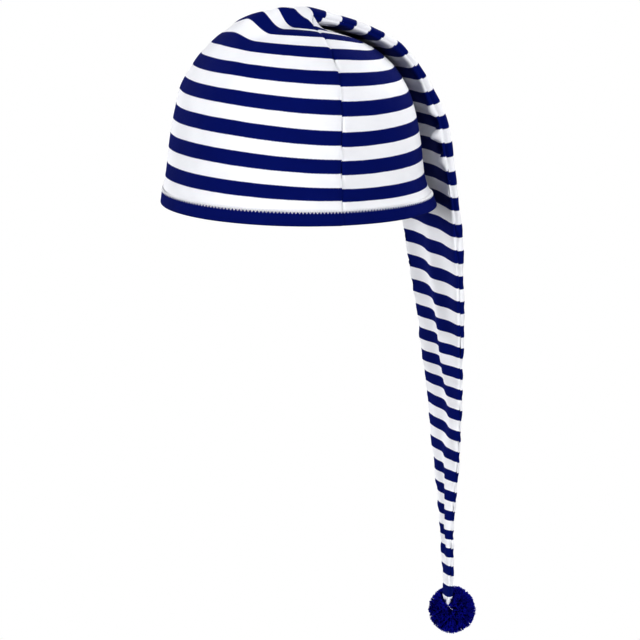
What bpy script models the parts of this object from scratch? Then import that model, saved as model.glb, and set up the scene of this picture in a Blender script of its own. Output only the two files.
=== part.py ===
"""A striped jersey nightcap with a long tail and a yarn pompom, as worn on a head.

Metres, +Z up. The origin is the middle of the head opening, level with the rim, and the wearer
faces -Y. Two cloth panels, front and back, run from the rim to the tip of the tail and meet in a
seam on each side. The back panel turns back on itself at the top of the head, so that the tail
lies over the crown and hangs down behind it. A folded blue band binds the rim.
"""

import math
import random
from bisect import bisect_right

import bmesh
import bpy
import numpy as np
from mathutils import Vector

# Driving dimensions
RIM_LENGTH = 0.194  # outside of the rim, forehead to back of the head
RIM_WIDTH = 0.154  # outside of the rim, temple to temple
CROWN_HEIGHT = 0.134  # rim to the top of the crown, under the fold of the tail
TAIL_DROP = 0.310  # rim down to the tip of the tail
TAIL_WIDTH = 0.074  # the hanging tail at its widest
TAIL_DEPTH = 0.014  # the hanging tail's thickness at its thickest
CLOTH = 0.0014  # wall of the doubled jersey
SEAM_GAP = 0.0003  # between the two panels along their seams
SEAM_ROLL = 0.003  # half the width of the groove that the seam pulls in
HEM_HEIGHT = 0.0088
HEM_CLOTH = 0.0009
HEM_GAP = 0.0005  # between the band and the panels inside it
POMPOM_RADIUS = 0.0174
POMPOM_LOCK = 0.0034  # length of the yarn locks that stand out of the pompom's solid core
LOCK_RISE = (0.75, 1.1)  # shortest and longest lock, as shares of POMPOM_LOCK
LOCK_TAPER = 0.62  # how wide a lock is at its end, as a share of its root
BARE_SHARE = 0.22  # share of the core that carries no lock
POMPOM_FROM_TIP = (-0.18, 0.31, -0.52)  # its centre from the tip of the tail, in its radii
TIP_SIDE = (0.8, -0.45, 0.55)  # the way that the tip of the tail lies out of the pompom
NOTCH_GAP = 0.0006  # round the tip of the tail, inside the pompom
NOTCH_COURSES = 1.6  # how much of the tail's tip lies in the notch
NOTCH_REACH = 1.3  # how far the notch runs out of the pompom, in its radii

# Stripes are counted from the rim: blue stripe n is centred on course n, white on n + 0.5.
RIM_COURSE = 0.775
CREASE_COURSES = (8.5, 10.75)  # the crown's fold, where the rows lie closer together
TIP_COURSE = 37.75
STRIPE_HALF = 0.25  # half a stripe, in courses
PANEL_COLUMNS = 14
EVEN_COLUMNS = 0.6  # how evenly the columns lie; the rest draws them towards the seams
RING_SAMPLES = 361

# Crown rows. front and back are the ends of the ring on the middle plane, y as a share of half
# RIM_LENGTH and z of CROWN_HEIGHT; side is the half width as a share of half RIM_WIDTH; seam says
# where the seam lies between back (0) and front (1); dip is how far the ring sags at the seams and
# ridge how far the fold of the tail stands up from the crown, as shares of TAIL_DEPTH; edge is how
# far out the middle of the fold's sloping side lies and flank how wide that side is, as shares of
# half TAIL_WIDTH; square is the ring's superellipse exponent.
CROWN_COLUMNS = "course front_y front_z back_y back_z side seam dip ridge edge flank square"
CROWN_ROWS = (
    (0.775, -1.000, 0.034, 1.000, -0.034, 1.000, 0.515, 0.00, 0.00, 0.40, 0.54, 2.0),
    (2.0, -0.960, 0.204, 0.912, 0.116, 0.991, 0.503, 0.10, 0.00, 0.40, 0.54, 2.0),
    (3.0, -0.930, 0.351, 0.880, 0.265, 0.981, 0.502, 0.20, 0.00, 0.40, 0.54, 2.0),
    (4.0, -0.890, 0.494, 0.848, 0.407, 0.955, 0.499, 0.25, 0.00, 0.40, 0.54, 2.0),
    (5.0, -0.822, 0.633, 0.793, 0.547, 0.903, 0.490, 0.17, 0.00, 0.40, 0.54, 2.0),
    (6.0, -0.728, 0.757, 0.695, 0.672, 0.799, 0.475, 0.05, 0.00, 0.40, 0.54, 2.0),
    (7.0, -0.588, 0.861, 0.552, 0.770, 0.652, 0.470, -0.08, 0.08, 0.43, 0.54, 2.0),
    (7.5, -0.495, 0.895, 0.466, 0.806, 0.570, 0.480, -0.14, 0.28, 0.51, 0.54, 2.2),
    (8.0, -0.405, 0.925, 0.382, 0.835, 0.494, 0.490, -0.20, 0.42, 0.58, 0.50, 2.6),
    (8.5, -0.303, 0.931, 0.284, 0.856, 0.410, 0.490, -0.18, 0.46, 0.62, 0.38, 3.6),
    (9.0, -0.212, 0.934, 0.186, 0.872, 0.355, 0.480, -0.10, 0.48, 0.64, 0.24, 4.5),
)

# Tail rows. inner is the side of the tail that faces the head, y as a share of half RIM_LENGTH and
# z of CROWN_HEIGHT above the rim or of TAIL_DROP below it; lean turns the section from facing
# forward (0) over upright (90) to facing backward (180); depth is a share of TAIL_DEPTH, width and
# sway of half TAIL_WIDTH; droop, how far the edges bend towards the head, and groove, how far the
# seams are pulled in, are shares of TAIL_DEPTH; twist raises the near edge and lowers the far one,
# and roll does so on the outer side alone, both in degrees.
TAIL_COLUMNS = "course inner_y inner_z lean depth width droop groove sway twist roll"
TAIL_ROWS = (
    (9.5, 0.083, 0.903, 46.0, 1.32, 0.62, 0.05, 0.00, 0.00, 6.4, 6.0),
    (10.0, 0.010, 0.924, 112.0, 0.68, 0.58, 0.07, 0.00, 0.00, 6.4, 6.0),
    (10.5, 0.140, 0.903, 112.0, 0.60, 0.57, 0.07, 0.00, 0.00, 6.4, 6.0),
    (11.0, 0.256, 0.882, 113.0, 0.58, 0.57, 0.08, 0.00, 0.00, 6.4, 5.5),
    (12.0, 0.453, 0.830, 128.0, 0.57, 0.58, 0.10, 0.00, 0.00, 6.4, 4.5),
    (13.0, 0.641, 0.748, 136.0, 0.56, 0.60, 0.12, 0.03, 0.00, 6.4, 4.5),
    (14.0, 0.775, 0.634, 146.0, 0.62, 0.63, 0.15, 0.06, 0.00, 6.0, 4.5),
    (15.0, 0.868, 0.504, 158.0, 0.76, 0.66, 0.24, 0.12, 0.00, 5.5, 3.5),
    (16.0, 0.959, 0.384, 168.0, 0.80, 0.73, 0.36, 0.17, 0.00, 5.0, 1.5),
    (17.0, 1.003, 0.247, 172.0, 0.80, 0.82, 0.50, 0.22, 0.00, 5.0, 0.0),
    (18.0, 1.023, 0.100, 175.0, 0.76, 0.92, 0.54, 0.25, 0.00, 6.0, 0.0),
    (19.0, 1.038, -0.014, 178.0, 0.74, 0.99, 0.54, 0.26, 0.00, 6.5, 0.0),
    (20.0, 1.050, -0.076, 179.0, 0.76, 1.00, 0.48, 0.25, 0.00, 6.5, 0.0),
    (22.0, 1.074, -0.197, 180.0, 0.71, 0.94, 0.32, 0.20, 0.01, 5.5, 0.0),
    (24.0, 1.097, -0.314, 180.0, 0.62, 0.85, 0.16, 0.15, 0.02, 4.0, 0.0),
    (26.0, 1.121, -0.418, 180.0, 0.50, 0.75, 0.10, 0.11, 0.04, 3.0, 0.0),
    (28.0, 1.139, -0.520, 180.0, 0.44, 0.66, 0.06, 0.08, 0.06, 2.0, 0.0),
    (30.0, 1.143, -0.624, 180.0, 0.44, 0.54, 0.03, 0.06, 0.09, 1.0, 0.0),
    (32.0, 1.142, -0.726, 180.0, 0.46, 0.40, 0.00, 0.05, 0.13, 0.0, 0.0),
    (34.0, 1.143, -0.824, 180.0, 0.47, 0.26, 0.00, 0.04, 0.17, 0.0, 0.0),
    (36.0, 1.151, -0.915, 180.0, 0.46, 0.20, 0.00, 0.03, 0.21, 0.0, 0.0),
    (37.75, 1.153, -1.000, 180.0, 0.38, 0.13, 0.00, 0.00, 0.23, 0.0, 0.0),
)
TAIL_SEAM = 0.45
TAIL_SQUARE = 3.0
FOLD_EDGE = 0.64  # where the fold on the crown runs out into the tail, of half TAIL_WIDTH
FOLD_FLANK = 0.24
FOLD_REACH = 3.0  # the fold dies out over this share of the ring's front half, one over

# Soft folds of the cloth: where each starts and ends, how far round the panel from its near seam
# (0) to its far seam (1), how wide it is there, and its height as a share of TAIL_DEPTH. The
# exponents say how bluntly a fold starts and ends, and how it fades towards the seams.
FOLD_COLUMNS = "panel first last start_share end_share width height"
FOLD_ROWS = (
    ("back", 18.5, 30.0, 0.62, 0.10, 0.14, 0.30),
    ("back", 18.5, 30.0, 0.94, 0.42, 0.16, -0.22),
    ("back", 28.5, 35.5, 0.34, 0.18, 0.14, 0.16),
    ("back", 28.5, 35.5, 0.62, 0.50, 0.14, -0.14),
    ("front", 10.5, 19.0, 0.62, 0.56, 0.10, 0.12),
    ("front", 10.5, 24.0, 0.34, 0.40, 0.09, -0.12),
    ("front", 20.0, 31.0, 0.72, 0.30, 0.13, 0.16),
    ("front", 3.0, 7.6, 0.22, 0.40, 0.035, 0.07),
)
FOLD_ENDS = 0.7
FOLD_FADE = 0.5

BLUE = (0.004, 0.008, 0.105, 1.0)
WHITE = (0.82, 0.83, 0.86, 1.0)


def named(columns, rows):
    """Each row as a dictionary of its named columns."""
    return [dict(zip(columns.split(), row)) for row in rows]


def height(share):
    """A height from its share: of the crown above the rim, of the tail below it."""
    return share * (CROWN_HEIGHT if share >= 0 else TAIL_DROP)


def crown_section(row):
    half = RIM_LENGTH / 2
    return {
        "course": row["course"],
        "front_y": row["front_y"] * half,
        "front_z": row["front_z"] * CROWN_HEIGHT,
        "back_y": row["back_y"] * half,
        "back_z": row["back_z"] * CROWN_HEIGHT,
        "side": row["side"] * RIM_WIDTH / 2,
        "seam": row["seam"],
        "ridge": row["ridge"] * TAIL_DEPTH,
        "edge": row["edge"] * TAIL_WIDTH / 2,
        "flank": row["flank"] * TAIL_WIDTH / 2,
        "square": row["square"],
        "dip": row["dip"] * TAIL_DEPTH,
        "droop": 0.0,
        "groove": 0.0,
        "sway": 0.0,
        "twist": 0.0,
        "roll": 0.0,
    }


def tail_section(row):
    lean = math.radians(row["lean"])
    depth = row["depth"] * TAIL_DEPTH
    inner_y = row["inner_y"] * RIM_LENGTH / 2
    inner_z = height(row["inner_z"])
    return {
        "course": row["course"],
        "front_y": inner_y - depth * math.cos(lean),
        "front_z": inner_z + depth * math.sin(lean),
        "back_y": inner_y,
        "back_z": inner_z,
        "side": row["width"] * TAIL_WIDTH / 2,
        "seam": TAIL_SEAM,
        "ridge": 0.0,
        "edge": FOLD_EDGE * TAIL_WIDTH / 2,
        "flank": FOLD_FLANK * TAIL_WIDTH / 2,
        "square": TAIL_SQUARE,
        "dip": 0.0,
        "droop": row["droop"] * TAIL_DEPTH,
        "groove": row["groove"] * TAIL_DEPTH,
        "sway": row["sway"] * TAIL_WIDTH / 2,
        "twist": math.radians(row["twist"]),
        "roll": math.radians(row["roll"]),
    }


SECTIONS = [crown_section(row) for row in named(CROWN_COLUMNS, CROWN_ROWS)]
SECTIONS += [tail_section(row) for row in named(TAIL_COLUMNS, TAIL_ROWS)]
FOLDS = named(FOLD_COLUMNS, FOLD_ROWS)


def section_at(course):
    """The section at any course, on a smooth curve through the rows of the tables."""
    courses = [section["course"] for section in SECTIONS]
    last = len(SECTIONS) - 1
    i = min(max(bisect_right(courses, course) - 1, 0), last - 1)
    span = courses[i + 1] - courses[i]
    t = (course - courses[i]) / span

    def slope(key, at):
        low, high = max(at - 1, 0), min(at + 1, last)
        return (SECTIONS[high][key] - SECTIONS[low][key]) / (courses[high] - courses[low])

    blended = {}
    for key in SECTIONS[0]:
        start, end = SECTIONS[i][key], SECTIONS[i + 1][key]
        blended[key] = (
            (2 * t**3 - 3 * t**2 + 1) * start
            + (t**3 - 2 * t**2 + t) * span * slope(key, i)
            + (3 * t**2 - 2 * t**3) * end
            + (t**3 - t**2) * span * slope(key, i + 1)
        )
    return blended


def smooth_step(value):
    value = np.clip(value, 0.0, 1.0)
    return value * value * (3 - 2 * value)


def ring_points(section, angles):
    """Points of a ring. Angle 0 is its front or outer end, 90 the near seam (+X), 180 its back."""
    sine, cosine = np.sin(angles), np.cos(angles)
    power = 2 / section["square"]
    across = np.sign(sine) * np.abs(sine) ** power
    along = np.sign(cosine) * np.abs(cosine) ** power
    step_y = section["front_y"] - section["back_y"]
    step_z = section["front_z"] - section["back_z"]
    length = math.hypot(step_y, step_z)
    out_y, out_z = step_y / length, step_z / length
    forward = (1 - section["seam"]) * length
    backward = section["seam"] * length
    out = along * np.where(along > 0, forward, backward)
    x = across * (section["side"] - section["groove"] * np.exp(-((out / SEAM_ROLL) ** 2)))
    tilt = math.sin(section["twist"]) + math.sin(section["roll"]) * (1 + along) / 2
    out = out - section["droop"] * across**2 + x * tilt
    # The fold on the crown stands higher on the near side than on the far one.
    down_flank = 0.5 + (np.abs(x) - section["edge"]) / section["flank"]
    lift = section["ridge"] * (1 + x / section["edge"]) * (1 - smooth_step(down_flank))
    lift = lift * smooth_step(along * FOLD_REACH)
    middle_y = section["back_y"] + section["seam"] * step_y
    middle_z = section["back_z"] + section["seam"] * step_z - section["dip"] * across**4
    return np.stack(
        [x + section["sway"], middle_y + out * out_y, middle_z + out * out_z + lift], axis=1
    )


def panel_row(panel, course, shares):
    """Points of a panel at a course, at shares of the way from the near seam to the far seam."""
    turn = np.radians(np.linspace(90, -90, RING_SAMPLES) + (0 if panel == "front" else 180))
    points = ring_points(section_at(course), turn)
    if panel == "back":
        points = points[::-1]
    steps = np.linalg.norm(np.diff(points, axis=0), axis=1)
    travelled = np.concatenate([[0.0], np.cumsum(steps)])
    wanted = SEAM_GAP / 2 + shares * (travelled[-1] - SEAM_GAP)
    return np.stack([np.interp(wanted, travelled, points[:, axis]) for axis in range(3)], axis=1)


def column_shares(count):
    """Shares across a panel, closer together towards the seams."""
    even = np.linspace(0, 1, count + 1)
    drawn = (1 - np.cos(even * math.pi)) / 2
    return EVEN_COLUMNS * even + (1 - EVEN_COLUMNS) * drawn


def fold_height(panel, course, shares):
    """How far the soft folds push the cloth out at a course."""
    total = np.zeros(len(shares))
    for fold in FOLDS:
        if fold["panel"] != panel or not fold["first"] < course < fold["last"]:
            continue
        way = (course - fold["first"]) / (fold["last"] - fold["first"])
        centre = fold["start_share"] + way * (fold["end_share"] - fold["start_share"])
        rise = fold["height"] * TAIL_DEPTH * math.sin(math.pi * way) ** FOLD_ENDS
        swell = np.exp(-(((shares - centre) / fold["width"]) ** 2))
        total += rise * swell * np.sin(math.pi * shares) ** FOLD_FADE
    return total


def row_courses():
    """Stripe edges from the rim to the tip, with half steps round the crown's fold."""
    courses = [RIM_COURSE, 1 + STRIPE_HALF]
    while courses[-1] + 2 * STRIPE_HALF < TIP_COURSE:
        fine = CREASE_COURSES[0] <= courses[-1] < CREASE_COURSES[1]
        courses.append(courses[-1] + (STRIPE_HALF if fine else 2 * STRIPE_HALF))
    return courses + [TIP_COURSE]


def unit(vectors):
    return vectors / np.linalg.norm(vectors, axis=-1, keepdims=True)


def closed_rows(front, back):
    """Rows of both panels joined to closed rings, with one point on each seam."""
    near = (front[:, :1] + back[:, :1]) / 2
    far = (front[:, -1:] + back[:, -1:]) / 2
    return np.concatenate([near, front[:, 1:-1], far, back[:, -2:0:-1]], axis=1)


def ring_normals(front, back):
    """Outward normals of both panels' grids, agreeing with each other along the seams."""
    closed = closed_rows(front, back)
    across = np.roll(closed, -1, axis=1) - np.roll(closed, 1, axis=1)
    normals = unit(np.cross(np.gradient(closed, axis=0), across))
    columns = front.shape[1]
    wrapped = np.concatenate([normals[:, columns - 1 :], normals[:, :1]], axis=1)
    return normals[:, :columns], wrapped[:, ::-1]


def panel_faces(courses, shares):
    """Outer and inner faces of both panels, as grids of points with the soft folds in them."""
    grids, normals = {}, {}
    for panel in ("front", "back"):
        grids[panel] = np.array([panel_row(panel, course, shares) for course in courses])
    normals["front"], normals["back"] = ring_normals(grids["front"], grids["back"])
    for panel in grids:
        heights = np.array([fold_height(panel, course, shares) for course in courses])
        grids[panel] = grids[panel] + normals[panel] * heights[:, :, None]
    normals["front"], normals["back"] = ring_normals(grids["front"], grids["back"])
    return {panel: (grids[panel], grids[panel] - normals[panel] * CLOTH) for panel in grids}


def new_object(name, mesh, collection):
    made = bpy.data.objects.new(name, mesh)
    collection.objects.link(made)
    return made


def material(name, colour, roughness):
    made = bpy.data.materials.new(name)
    made.use_nodes = True
    shader = made.node_tree.nodes["Principled BSDF"]
    shader.inputs["Base Color"].default_value = colour
    shader.inputs["Roughness"].default_value = roughness
    shader.inputs["Metallic"].default_value = 0.0
    return made


def make_panel(panel, outer, inner, courses, collection, cloths):
    """One cloth panel as a closed solid: outer and inner face, joined along all four edges."""
    rows, columns = outer.shape[:2]
    layer = rows * columns
    faces = []
    colours = []
    for i in range(rows - 1):
        middle = (courses[i] + courses[i + 1]) / 2
        colour = 0 if abs(middle - round(middle)) < STRIPE_HALF or i == 0 else 1
        for j in range(columns - 1):
            corner = i * columns + j
            face = (corner, corner + 1, corner + columns + 1, corner + columns)
            faces += [face, tuple(index + layer for index in reversed(face))]
            colours += [colour, colour]
        for corner in (i * columns, (i + 1) * columns - 1):
            edge = (corner, corner + columns, corner + columns + layer, corner + layer)
            faces.append(edge if corner % columns == 0 else edge[::-1])
            colours.append(colour)
    for j in range(columns - 1):
        for corner in (j, (rows - 1) * columns + j):
            edge = (corner, corner + layer, corner + layer + 1, corner + 1)
            faces.append(edge if corner == j else edge[::-1])
            colours.append(0)
    if panel == "front":
        faces = [face[::-1] for face in faces]
    points = np.concatenate([outer.reshape(-1, 3), inner.reshape(-1, 3)])
    mesh = bpy.data.meshes.new(panel + "_panel")
    mesh.from_pydata([tuple(point) for point in points], [], faces)
    for cloth in cloths:
        mesh.materials.append(cloth)
    mesh.polygons.foreach_set("material_index", colours)
    mesh.shade_smooth()
    mesh.set_sharp_from_angle(angle=math.radians(50))
    return new_object(panel + "_panel", mesh, collection)


def hem_section():
    """The band's folded outline: (up from the rim, out from the panels' outer face)."""
    inside = -CLOTH - HEM_GAP
    low = -HEM_GAP
    middle = -CLOTH / 2
    outer_half = CLOTH / 2 + HEM_GAP + HEM_CLOTH
    fold = [
        (low - HEM_CLOTH * math.sin(turn), middle + outer_half * math.cos(turn))
        for turn in np.radians([0, 45, 90, 135, 180])
    ]
    return [
        (HEM_HEIGHT, HEM_GAP),
        (HEM_HEIGHT, HEM_GAP + HEM_CLOTH),
        *fold,
        (HEM_HEIGHT, inside - HEM_CLOTH),
        (HEM_HEIGHT, inside),
        (low, inside),
        (low, HEM_GAP),
    ]


def make_hem_band(faces, collection, cloth):
    """The blue band, folded over the raw edge of both panels all round the rim."""
    (front, front_inner), (back, back_inner) = faces["front"], faces["back"]
    outer = closed_rows(front[:2], back[:2])
    wall = unit(outer - closed_rows(front_inner[:2], back_inner[:2]))
    up = outer[1] - outer[0]
    rim_to_row = np.linalg.norm(up, axis=1)
    outline = hem_section()
    points = []
    for i in range(outer.shape[1]):
        for rise, reach in outline:
            way = rise / rim_to_row[i]
            out = wall[0, i] + max(way, 0.0) * (wall[1, i] - wall[0, i])
            points.append(tuple(outer[0, i] + way * up[i] + reach * out))
    count = len(outline)
    around = outer.shape[1]
    quads = []
    for i in range(around):
        for j in range(count):
            here, along = i * count, ((i + 1) % around) * count
            after = (j + 1) % count
            quads.append((here + j, along + j, along + after, here + after))
    mesh = bpy.data.meshes.new("hem_band")
    mesh.from_pydata(points, [], quads)
    mesh.materials.append(cloth)
    mesh.shade_smooth()
    mesh.set_sharp_from_angle(angle=math.radians(50))
    return new_object("hem_band", mesh, collection)


def pompom_centre():
    """The pompom hangs with the tip of the tail just inside its near upper side."""
    tip = ring_points(section_at(TIP_COURSE), np.radians([0.0, 90.0, 180.0, 270.0])).mean(axis=0)
    return tip + POMPOM_RADIUS * np.array(POMPOM_FROM_TIP)


def make_pompom(collection, yarn):
    """A yarn ball: locks fused to a core, some places left bare between them."""
    chance = random.Random(7)
    centre = Vector(pompom_centre())
    ball = bmesh.new()
    bmesh.ops.create_icosphere(ball, subdivisions=3, radius=POMPOM_RADIUS - POMPOM_LOCK)
    for face in list(ball.faces):
        if chance.random() < BARE_SHARE:
            continue
        out = face.calc_center_median().normalized()
        extruded = bmesh.ops.extrude_discrete_faces(ball, faces=[face])["faces"][0]
        rise = POMPOM_LOCK * chance.uniform(*LOCK_RISE)
        middle = extruded.calc_center_median()
        for vertex in extruded.verts:
            vertex.co = middle + (vertex.co - middle) * LOCK_TAPER + out * rise
    bmesh.ops.translate(ball, vec=centre, verts=ball.verts)
    mesh = bpy.data.meshes.new("pompom")
    ball.to_mesh(mesh)
    ball.free()
    mesh.materials.append(yarn)
    return new_object("pompom", mesh, collection)


def make_notch(collection):
    """The space that the tip of the tail takes in the pompom, opening towards the near side."""
    away = Vector(TIP_SIDE).normalized() * POMPOM_RADIUS * NOTCH_REACH
    block = bmesh.new()
    for course in np.linspace(TIP_COURSE - NOTCH_COURSES, TIP_COURSE, 3):
        section = section_at(course)
        section["side"] += NOTCH_GAP
        section["groove"] = 0.0
        ring = ring_points(section, np.radians(np.arange(0, 360, 30)))
        middle = ring.mean(axis=0)
        narrowest = np.linalg.norm(ring - middle, axis=1).min()
        for point in ring:
            swollen = middle + (point - middle) * (1 + NOTCH_GAP / narrowest)
            drop = Vector((0, 0, -NOTCH_GAP)) if course == TIP_COURSE else Vector()
            block.verts.new(Vector(swollen) + drop)
            block.verts.new(Vector(swollen) + drop + away)
    bmesh.ops.convex_hull(block, input=block.verts)
    loose = [vertex for vertex in block.verts if not vertex.link_faces]
    bmesh.ops.delete(block, geom=loose, context="VERTS")
    bmesh.ops.recalc_face_normals(block, faces=block.faces)
    mesh = bpy.data.meshes.new("tip_notch")
    block.to_mesh(mesh)
    block.free()
    cutter = new_object("tip_notch", mesh, collection)
    cutter.hide_render = True
    cutter.display_type = "WIRE"
    return cutter


def main():
    for stale in list(bpy.data.objects):
        bpy.data.objects.remove(stale)
    parts = bpy.data.collections.new("nightcap")
    cutters = bpy.data.collections.new("cutters")
    bpy.context.scene.collection.children.link(parts)
    bpy.context.scene.collection.children.link(cutters)

    blue_jersey = material("blue_jersey", BLUE, 0.85)
    white_jersey = material("white_jersey", WHITE, 0.9)
    blue_yarn = material("blue_yarn", BLUE, 0.95)

    courses = row_courses()
    faces = panel_faces(courses, column_shares(PANEL_COLUMNS))
    for panel, (outer, inner) in faces.items():
        make_panel(panel, outer, inner, courses, parts, (blue_jersey, white_jersey))
    make_hem_band(faces, parts, blue_jersey)
    pompom = make_pompom(parts, blue_yarn)
    notch = pompom.modifiers.new("notch", "BOOLEAN")
    notch.operation = "DIFFERENCE"
    notch.solver = "EXACT"
    notch.object = make_notch(cutters)


main()
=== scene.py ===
import math
from bisect import bisect_right

import bmesh
import bpy
import numpy as np
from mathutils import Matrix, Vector, noise


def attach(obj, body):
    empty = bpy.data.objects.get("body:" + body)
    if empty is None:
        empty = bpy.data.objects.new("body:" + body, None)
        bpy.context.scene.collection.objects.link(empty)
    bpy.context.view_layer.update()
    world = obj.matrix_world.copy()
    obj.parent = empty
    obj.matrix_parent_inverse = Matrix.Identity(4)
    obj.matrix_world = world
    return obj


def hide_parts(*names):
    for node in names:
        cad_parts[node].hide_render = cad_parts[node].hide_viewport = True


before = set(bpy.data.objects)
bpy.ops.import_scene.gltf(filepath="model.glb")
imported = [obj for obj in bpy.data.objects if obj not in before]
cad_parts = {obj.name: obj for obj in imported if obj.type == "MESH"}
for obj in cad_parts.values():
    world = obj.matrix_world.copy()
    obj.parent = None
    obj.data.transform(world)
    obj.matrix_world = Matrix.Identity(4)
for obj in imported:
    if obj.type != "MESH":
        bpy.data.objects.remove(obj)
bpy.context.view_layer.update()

# What the cap is cut and worn to, in metres. Blue ring n is centred on course n from the rim.
capCut = {
    "rimLength": 0.194,  # forehead to back of the head
    "rimWidth": 0.154,
    "crownHeight": 0.134,
    "tailDrop": 0.310,
    "tailWidth": 0.074,
    "tailDepth": 0.014,
    "wall": 0.0014,
    "seamGap": 0.0001,
    "seamRoll": 0.003,  # half the width of the groove that the tail's seams pull in
    "firstCourse": 0.775,
    "tipCourse": 37.75,
    "tailSeam": 0.45,
    "tailSquare": 3.0,
    "foldEdge": 0.64,  # of half the tail's width
    "foldFlank": 0.24,
}

# Rings of the crown: y as a share of half the rim's length, z of the crown's height, half width of
# half the rim's width; dip and ridge are shares of the tail's depth, edge and flank of half its width.
crownColumns = "course frontY frontZ backY backZ side seam dip ridge edge flank square"
crownRows = (
    (0.775, -1.000, 0.034, 1.000, -0.034, 1.000, 0.515, 0.00, 0.00, 0.40, 0.54, 2.0),
    (2.0, -0.960, 0.204, 0.912, 0.116, 0.991, 0.503, 0.10, 0.00, 0.40, 0.54, 2.0),
    (3.0, -0.930, 0.351, 0.880, 0.265, 0.981, 0.502, 0.20, 0.00, 0.40, 0.54, 2.0),
    (4.0, -0.890, 0.494, 0.848, 0.407, 0.955, 0.499, 0.25, 0.00, 0.40, 0.54, 2.0),
    (5.0, -0.822, 0.633, 0.793, 0.547, 0.903, 0.490, 0.17, 0.00, 0.40, 0.54, 2.0),
    (6.0, -0.728, 0.757, 0.695, 0.672, 0.799, 0.475, 0.05, 0.00, 0.40, 0.54, 2.0),
    (7.0, -0.588, 0.861, 0.552, 0.770, 0.652, 0.470, -0.08, 0.08, 0.43, 0.54, 2.0),
    (7.5, -0.495, 0.895, 0.466, 0.806, 0.570, 0.480, -0.14, 0.28, 0.51, 0.54, 2.2),
    (8.0, -0.405, 0.925, 0.382, 0.835, 0.494, 0.490, -0.20, 0.42, 0.58, 0.50, 2.6),
    (8.5, -0.303, 0.931, 0.284, 0.856, 0.410, 0.490, -0.18, 0.46, 0.62, 0.38, 3.6),
    (9.0, -0.212, 0.934, 0.186, 0.872, 0.355, 0.480, -0.10, 0.48, 0.64, 0.24, 4.5),
)

# Rings of the tail: its side nearest the head, then how the section leans and what it measures.
tailColumns = "course innerY innerZ lean depth width droop groove sway twist roll"
tailRows = (
    (9.5, 0.083, 0.903, 46.0, 1.32, 0.62, 0.05, 0.00, 0.00, 6.4, 6.0),
    (10.0, 0.010, 0.924, 112.0, 0.68, 0.58, 0.07, 0.00, 0.00, 6.4, 6.0),
    (10.5, 0.140, 0.903, 112.0, 0.60, 0.57, 0.07, 0.00, 0.00, 6.4, 6.0),
    (11.0, 0.256, 0.882, 113.0, 0.58, 0.57, 0.08, 0.00, 0.00, 6.4, 5.5),
    (12.0, 0.453, 0.830, 128.0, 0.57, 0.58, 0.10, 0.00, 0.00, 6.4, 4.5),
    (13.0, 0.641, 0.748, 136.0, 0.56, 0.60, 0.12, 0.03, 0.00, 6.4, 4.5),
    (14.0, 0.775, 0.634, 146.0, 0.62, 0.63, 0.15, 0.06, 0.00, 6.0, 4.5),
    (15.0, 0.868, 0.504, 158.0, 0.76, 0.66, 0.24, 0.12, 0.00, 5.5, 3.5),
    (16.0, 0.959, 0.384, 168.0, 0.80, 0.73, 0.36, 0.17, 0.00, 5.0, 1.5),
    (17.0, 1.003, 0.247, 172.0, 0.80, 0.82, 0.50, 0.22, 0.00, 5.0, 0.0),
    (18.0, 1.023, 0.100, 175.0, 0.76, 0.92, 0.54, 0.25, 0.00, 6.0, 0.0),
    (19.0, 1.038, -0.014, 178.0, 0.74, 0.99, 0.54, 0.26, 0.00, 6.5, 0.0),
    (20.0, 1.050, -0.076, 179.0, 0.76, 1.00, 0.48, 0.25, 0.00, 6.5, 0.0),
    (22.0, 1.074, -0.197, 180.0, 0.71, 0.94, 0.32, 0.20, 0.01, 5.5, 0.0),
    (24.0, 1.097, -0.314, 180.0, 0.62, 0.85, 0.16, 0.15, 0.02, 4.0, 0.0),
    (26.0, 1.121, -0.418, 180.0, 0.50, 0.75, 0.10, 0.11, 0.04, 3.0, 0.0),
    (28.0, 1.139, -0.520, 180.0, 0.44, 0.66, 0.06, 0.08, 0.06, 2.0, 0.0),
    (30.0, 1.143, -0.624, 180.0, 0.44, 0.54, 0.03, 0.06, 0.09, 1.0, 0.0),
    (32.0, 1.142, -0.726, 180.0, 0.44, 0.38, 0.00, 0.05, 0.13, 0.0, 0.0),
    (34.0, 1.143, -0.824, 180.0, 0.42, 0.23, 0.00, 0.04, 0.17, 0.0, 0.0),
    (36.0, 1.151, -0.915, 180.0, 0.40, 0.17, 0.00, 0.03, 0.21, 0.0, 0.0),
    (37.75, 1.153, -1.005, 180.0, 0.34, 0.12, 0.00, 0.00, 0.23, 0.0, 0.0),
)

# Soft folds: from one course to another, across the panel from its near seam (0) to its far one (1)
foldColumns = "panel first last startShare endShare width height"
foldRows = (
    ("back", 18.5, 30.0, 0.62, 0.10, 0.14, 0.30),
    ("back", 18.5, 30.0, 0.94, 0.42, 0.16, -0.22),
    ("back", 28.5, 35.5, 0.34, 0.18, 0.14, 0.16),
    ("back", 28.5, 35.5, 0.62, 0.50, 0.14, -0.14),
    ("front", 10.5, 19.0, 0.62, 0.56, 0.10, 0.12),
    ("front", 10.5, 24.0, 0.34, 0.40, 0.09, -0.12),
    ("front", 20.0, 31.0, 0.72, 0.30, 0.13, 0.16),
    ("front", 3.0, 7.6, 0.22, 0.40, 0.035, 0.07),
    ("front", 2.8, 6.2, 0.74, 0.52, 0.030, 0.09),
)

# Pleats where the tail bends down over the rim, each at a course and a share across its panel
pleatColumns = "panel course share courseWidth shareWidth height"
pleatRows = (
    ("back", 15.45, 0.075, 0.24, 0.055, 0.40),
    ("back", 16.45, 0.085, 0.22, 0.060, 0.90),
    ("back", 17.35, 0.075, 0.24, 0.055, 0.45),
    ("back", 15.95, 0.110, 0.24, 0.070, -0.35),
    ("back", 16.95, 0.120, 0.24, 0.070, -0.45),
    ("front", 15.90, 0.05, 0.22, 0.06, -0.12),
    ("front", 17.00, 0.04, 0.25, 0.05, 0.10),
)


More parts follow.
